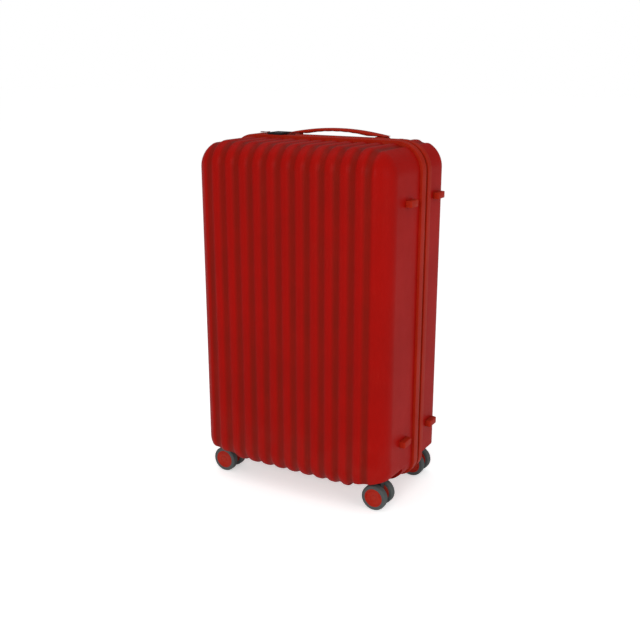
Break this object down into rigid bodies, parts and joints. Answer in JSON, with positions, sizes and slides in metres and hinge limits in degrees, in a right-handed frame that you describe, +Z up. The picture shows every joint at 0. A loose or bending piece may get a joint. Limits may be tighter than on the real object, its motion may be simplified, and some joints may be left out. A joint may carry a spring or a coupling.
{
  "type": "hard shell suitcase",
  "caption": "Ribbed hard shell suitcase that opens like a book, with a zip, telescopic handle, carry handles, combination lock and twin-wheel swivel casters.",
  "frame": {"origin": "on the floor, under the middle of the case's overall box", "axes": "+X towards the side with the feet and the hinge, +Y from the ribbed front face to the back, +Z up along the height"},
  "size_m": [0.4284, 0.256, 0.692],
  "materials": {
    "shell": "satin moulded polycarbonate, red",
    "rim": "satin moulded plastic, orange-red",
    "accent": "satin moulded plastic, orange-red",
    "handle": "soft-touch coated, orange-red",
    "zip_tape": "woven tape with moulded teeth",
    "zip_metal": "plated die-cast",
    "dark_plastic": "fine texture",
    "lock": "semi-gloss",
    "metal": "brushed",
    "mast": "anodised",
    "tyre": "dark grey polyurethane",
    "hub": "satin",
    "lining": "thin polyester lining",
    "mesh": "mesh and lining cloth",
    "strap": "webbing"
  },
  "bodies": {
    "rear_half": {"rear_shell": "shell", "rear_rim": "rim", "rear_zip": "zip_tape", "lock_body": "lock", "top_handle_blocks": "accent", "side_handle_blocks": "accent", "rear_feet": "accent", "mast_outer_tubes": "mast", "mast_cup": "dark_plastic", "mast_bracket": "dark_plastic", "rear_lining": "lining", "packing_straps": "strap", "bracket_screws": "metal", "rear_caster_mounts": "dark_plastic"},
    "front_half": {"front_shell": "shell", "front_rim": "rim", "front_zip": "zip_tape", "front_feet": "accent", "front_lining": "lining", "divider_panel": "mesh", "front_caster_mounts": "dark_plastic"},
    "mast_middle": {"mast_middle_tubes": "mast"},
    "mast_inner": {"mast_inner_tubes": "mast", "mast_grip": "dark_plastic"},
    "mast_release": {"mast_button": "accent"},
    "carry_top": {"top_handle": "handle"},
    "carry_side": {"side_handle": "handle"},
    "lock_slide": {"lock_button": "dark_plastic"},
    "lock_key": {"key_barrel": "metal"},
    "lock_dial_1": {"dial_1": "metal"},
    "lock_dial_2": {"dial_2": "metal"},
    "lock_dial_3": {"dial_3": "metal"},
    "slider_a": {"zip_slider_a": "zip_metal"},
    "slider_b": {"zip_slider_b": "zip_metal"},
    "pull_a": {"zip_pull_a": "zip_metal"},
    "pull_b": {"zip_pull_b": "zip_metal"},
    "front_left_caster": {"front_left_fork": "lock", "front_left_axle": "metal"},
    "front_left_wheel_a": {"front_left_hub_a": "hub", "front_left_tyre_a": "tyre"},
    "front_left_wheel_b": {"front_left_hub_b": "hub", "front_left_tyre_b": "tyre"},
    "front_right_caster": {"front_right_fork": "lock", "front_right_axle": "metal"},
    "front_right_wheel_a": {"front_right_hub_a": "hub", "front_right_tyre_a": "tyre"},
    "front_right_wheel_b": {"front_right_hub_b": "hub", "front_right_tyre_b": "tyre"},
    "rear_left_caster": {"rear_left_fork": "lock", "rear_left_axle": "metal"},
    "rear_left_wheel_a": {"rear_left_hub_a": "hub", "rear_left_tyre_a": "tyre"},
    "rear_left_wheel_b": {"rear_left_hub_b": "hub", "rear_left_tyre_b": "tyre"},
    "rear_right_caster": {"rear_right_fork": "lock", "rear_right_axle": "metal"},
    "rear_right_wheel_a": {"rear_right_hub_a": "hub", "rear_right_tyre_a": "tyre"},
    "rear_right_wheel_b": {"rear_right_hub_b": "hub", "rear_right_tyre_b": "tyre"}
  },
  "joints": [
    {"name": "case_hinge", "type": "hinge", "parent": "rear_half", "child": "front_half", "pos_m": [0.2075, 0.0272, 0.3375], "axis": [0, 0, 1], "range_deg": [0, 150]},
    {"name": "mast_lower_draw", "type": "slide", "parent": "rear_half", "child": "mast_middle", "axis": [0, 0, 1], "range_m": [0, 0.2]},
    {"name": "mast_upper_draw", "type": "slide", "parent": "mast_middle", "child": "mast_inner", "axis": [0, 0, 1], "range_m": [0, 0.2]},
    {"name": "mast_release_press", "type": "slide", "parent": "mast_inner", "child": "mast_release", "axis": [0, 0, -1], "range_m": [0, 0.0025], "stiffness_N_per_m": 400, "springref_m": -0.001},
    {"name": "top_handle_lift", "type": "slide", "parent": "rear_half", "child": "carry_top", "axis": [0, 0, 1], "range_m": [0, 0.01], "stiffness_N_per_m": 300, "springref_m": -0.004},
    {"name": "side_handle_lift", "type": "slide", "parent": "rear_half", "child": "carry_side", "axis": [-1, 0, 0], "range_m": [0, 0.01], "stiffness_N_per_m": 300, "springref_m": -0.004},
    {"name": "lock_slide_push", "type": "slide", "parent": "rear_half", "child": "lock_slide", "axis": [-1, 0, 0], "range_m": [0, 0.003], "stiffness_N_per_m": 200, "springref_m": -0.001},
    {"name": "lock_key_turn", "type": "hinge", "parent": "rear_half", "child": "lock_key", "pos_m": [-0.096, 0.0168, 0.683], "axis": [0, 0, 1], "range_deg": [0, 90]},
    {"name": "dial_1_turn", "type": "hinge", "parent": "rear_half", "child": "lock_dial_1", "pos_m": [-0.112, 0.0384, 0.6788], "axis": [1, 0, 0], "continuous": true},
    {"name": "dial_2_turn", "type": "hinge", "parent": "rear_half", "child": "lock_dial_2", "pos_m": [-0.106, 0.0384, 0.6788], "axis": [1, 0, 0], "continuous": true},
    {"name": "dial_3_turn", "type": "hinge", "parent": "rear_half", "child": "lock_dial_3", "pos_m": [-0.1, 0.0384, 0.6788], "axis": [1, 0, 0], "continuous": true},
    {"name": "slider_a_run", "type": "slide", "parent": "rear_half", "child": "slider_a", "axis": [1, 0, 0], "range_m": [0, 0.22]},
    {"name": "slider_b_run", "type": "slide", "parent": "rear_half", "child": "slider_b", "axis": [-1, 0, 0], "range_m": [0, 0.014]},
    {"name": "pull_a_flip", "type": "hinge", "parent": "slider_a", "child": "pull_a", "pos_m": [-0.08, 0.0272, 0.6824], "axis": [0, -1, 0], "range_deg": [0, 130]},
    {"name": "pull_b_flip", "type": "hinge", "parent": "slider_b", "child": "pull_b", "pos_m": [-0.132, 0.0272, 0.6824], "axis": [0, 1, 0], "range_deg": [0, 130]},
    {"name": "front_left_swivel", "type": "hinge", "parent": "front_half", "child": "front_left_caster", "pos_m": [-0.164, -0.0756, 0.054], "axis": [0, 0, 1], "continuous": true},
    {"name": "front_left_wheel_a_roll", "type": "hinge", "parent": "front_left_caster", "child": "front_left_wheel_a", "pos_m": [-0.172, -0.0756, 0.025], "axis": [0, 1, 0], "continuous": true},
    {"name": "front_left_wheel_b_roll", "type": "hinge", "parent": "front_left_caster", "child": "front_left_wheel_b", "pos_m": [-0.172, -0.0756, 0.025], "axis": [0, 1, 0], "continuous": true},
    {"name": "front_right_swivel", "type": "hinge", "parent": "front_half", "child": "front_right_caster", "pos_m": [0.164, -0.0756, 0.054], "axis": [0, 0, 1], "continuous": true},
    {"name": "front_right_wheel_a_roll", "type": "hinge", "parent": "front_right_caster", "child": "front_right_wheel_a", "pos_m": [0.172, -0.0756, 0.025], "axis": [0, 1, 0], "continuous": true},
    {"name": "front_right_wheel_b_roll", "type": "hinge", "parent": "front_right_caster", "child": "front_right_wheel_b", "pos_m": [0.172, -0.0756, 0.025], "axis": [0, 1, 0], "continuous": true},
    {"name": "rear_left_swivel", "type": "hinge", "parent": "rear_half", "child": "rear_left_caster", "pos_m": [-0.164, 0.096, 0.054], "axis": [0, 0, 1], "continuous": true},
    {"name": "rear_left_wheel_a_roll", "type": "hinge", "parent": "rear_left_caster", "child": "rear_left_wheel_a", "pos_m": [-0.172, 0.096, 0.025], "axis": [0, 1, 0], "continuous": true},
    {"name": "rear_left_wheel_b_roll", "type": "hinge", "parent": "rear_left_caster", "child": "rear_left_wheel_b", "pos_m": [-0.172, 0.096, 0.025], "axis": [0, 1, 0], "continuous": true},
    {"name": "rear_right_swivel", "type": "hinge", "parent": "rear_half", "child": "rear_right_caster", "pos_m": [0.164, 0.096, 0.054], "axis": [0, 0, 1], "continuous": true},
    {"name": "rear_right_wheel_a_roll", "type": "hinge", "parent": "rear_right_caster", "child": "rear_right_wheel_a", "pos_m": [0.172, 0.096, 0.025], "axis": [0, 1, 0], "continuous": true},
    {"name": "rear_right_wheel_b_roll", "type": "hinge", "parent": "rear_right_caster", "child": "rear_right_wheel_b", "pos_m": [0.172, 0.096, 0.025], "axis": [0, 1, 0], "continuous": true}
  ]
}
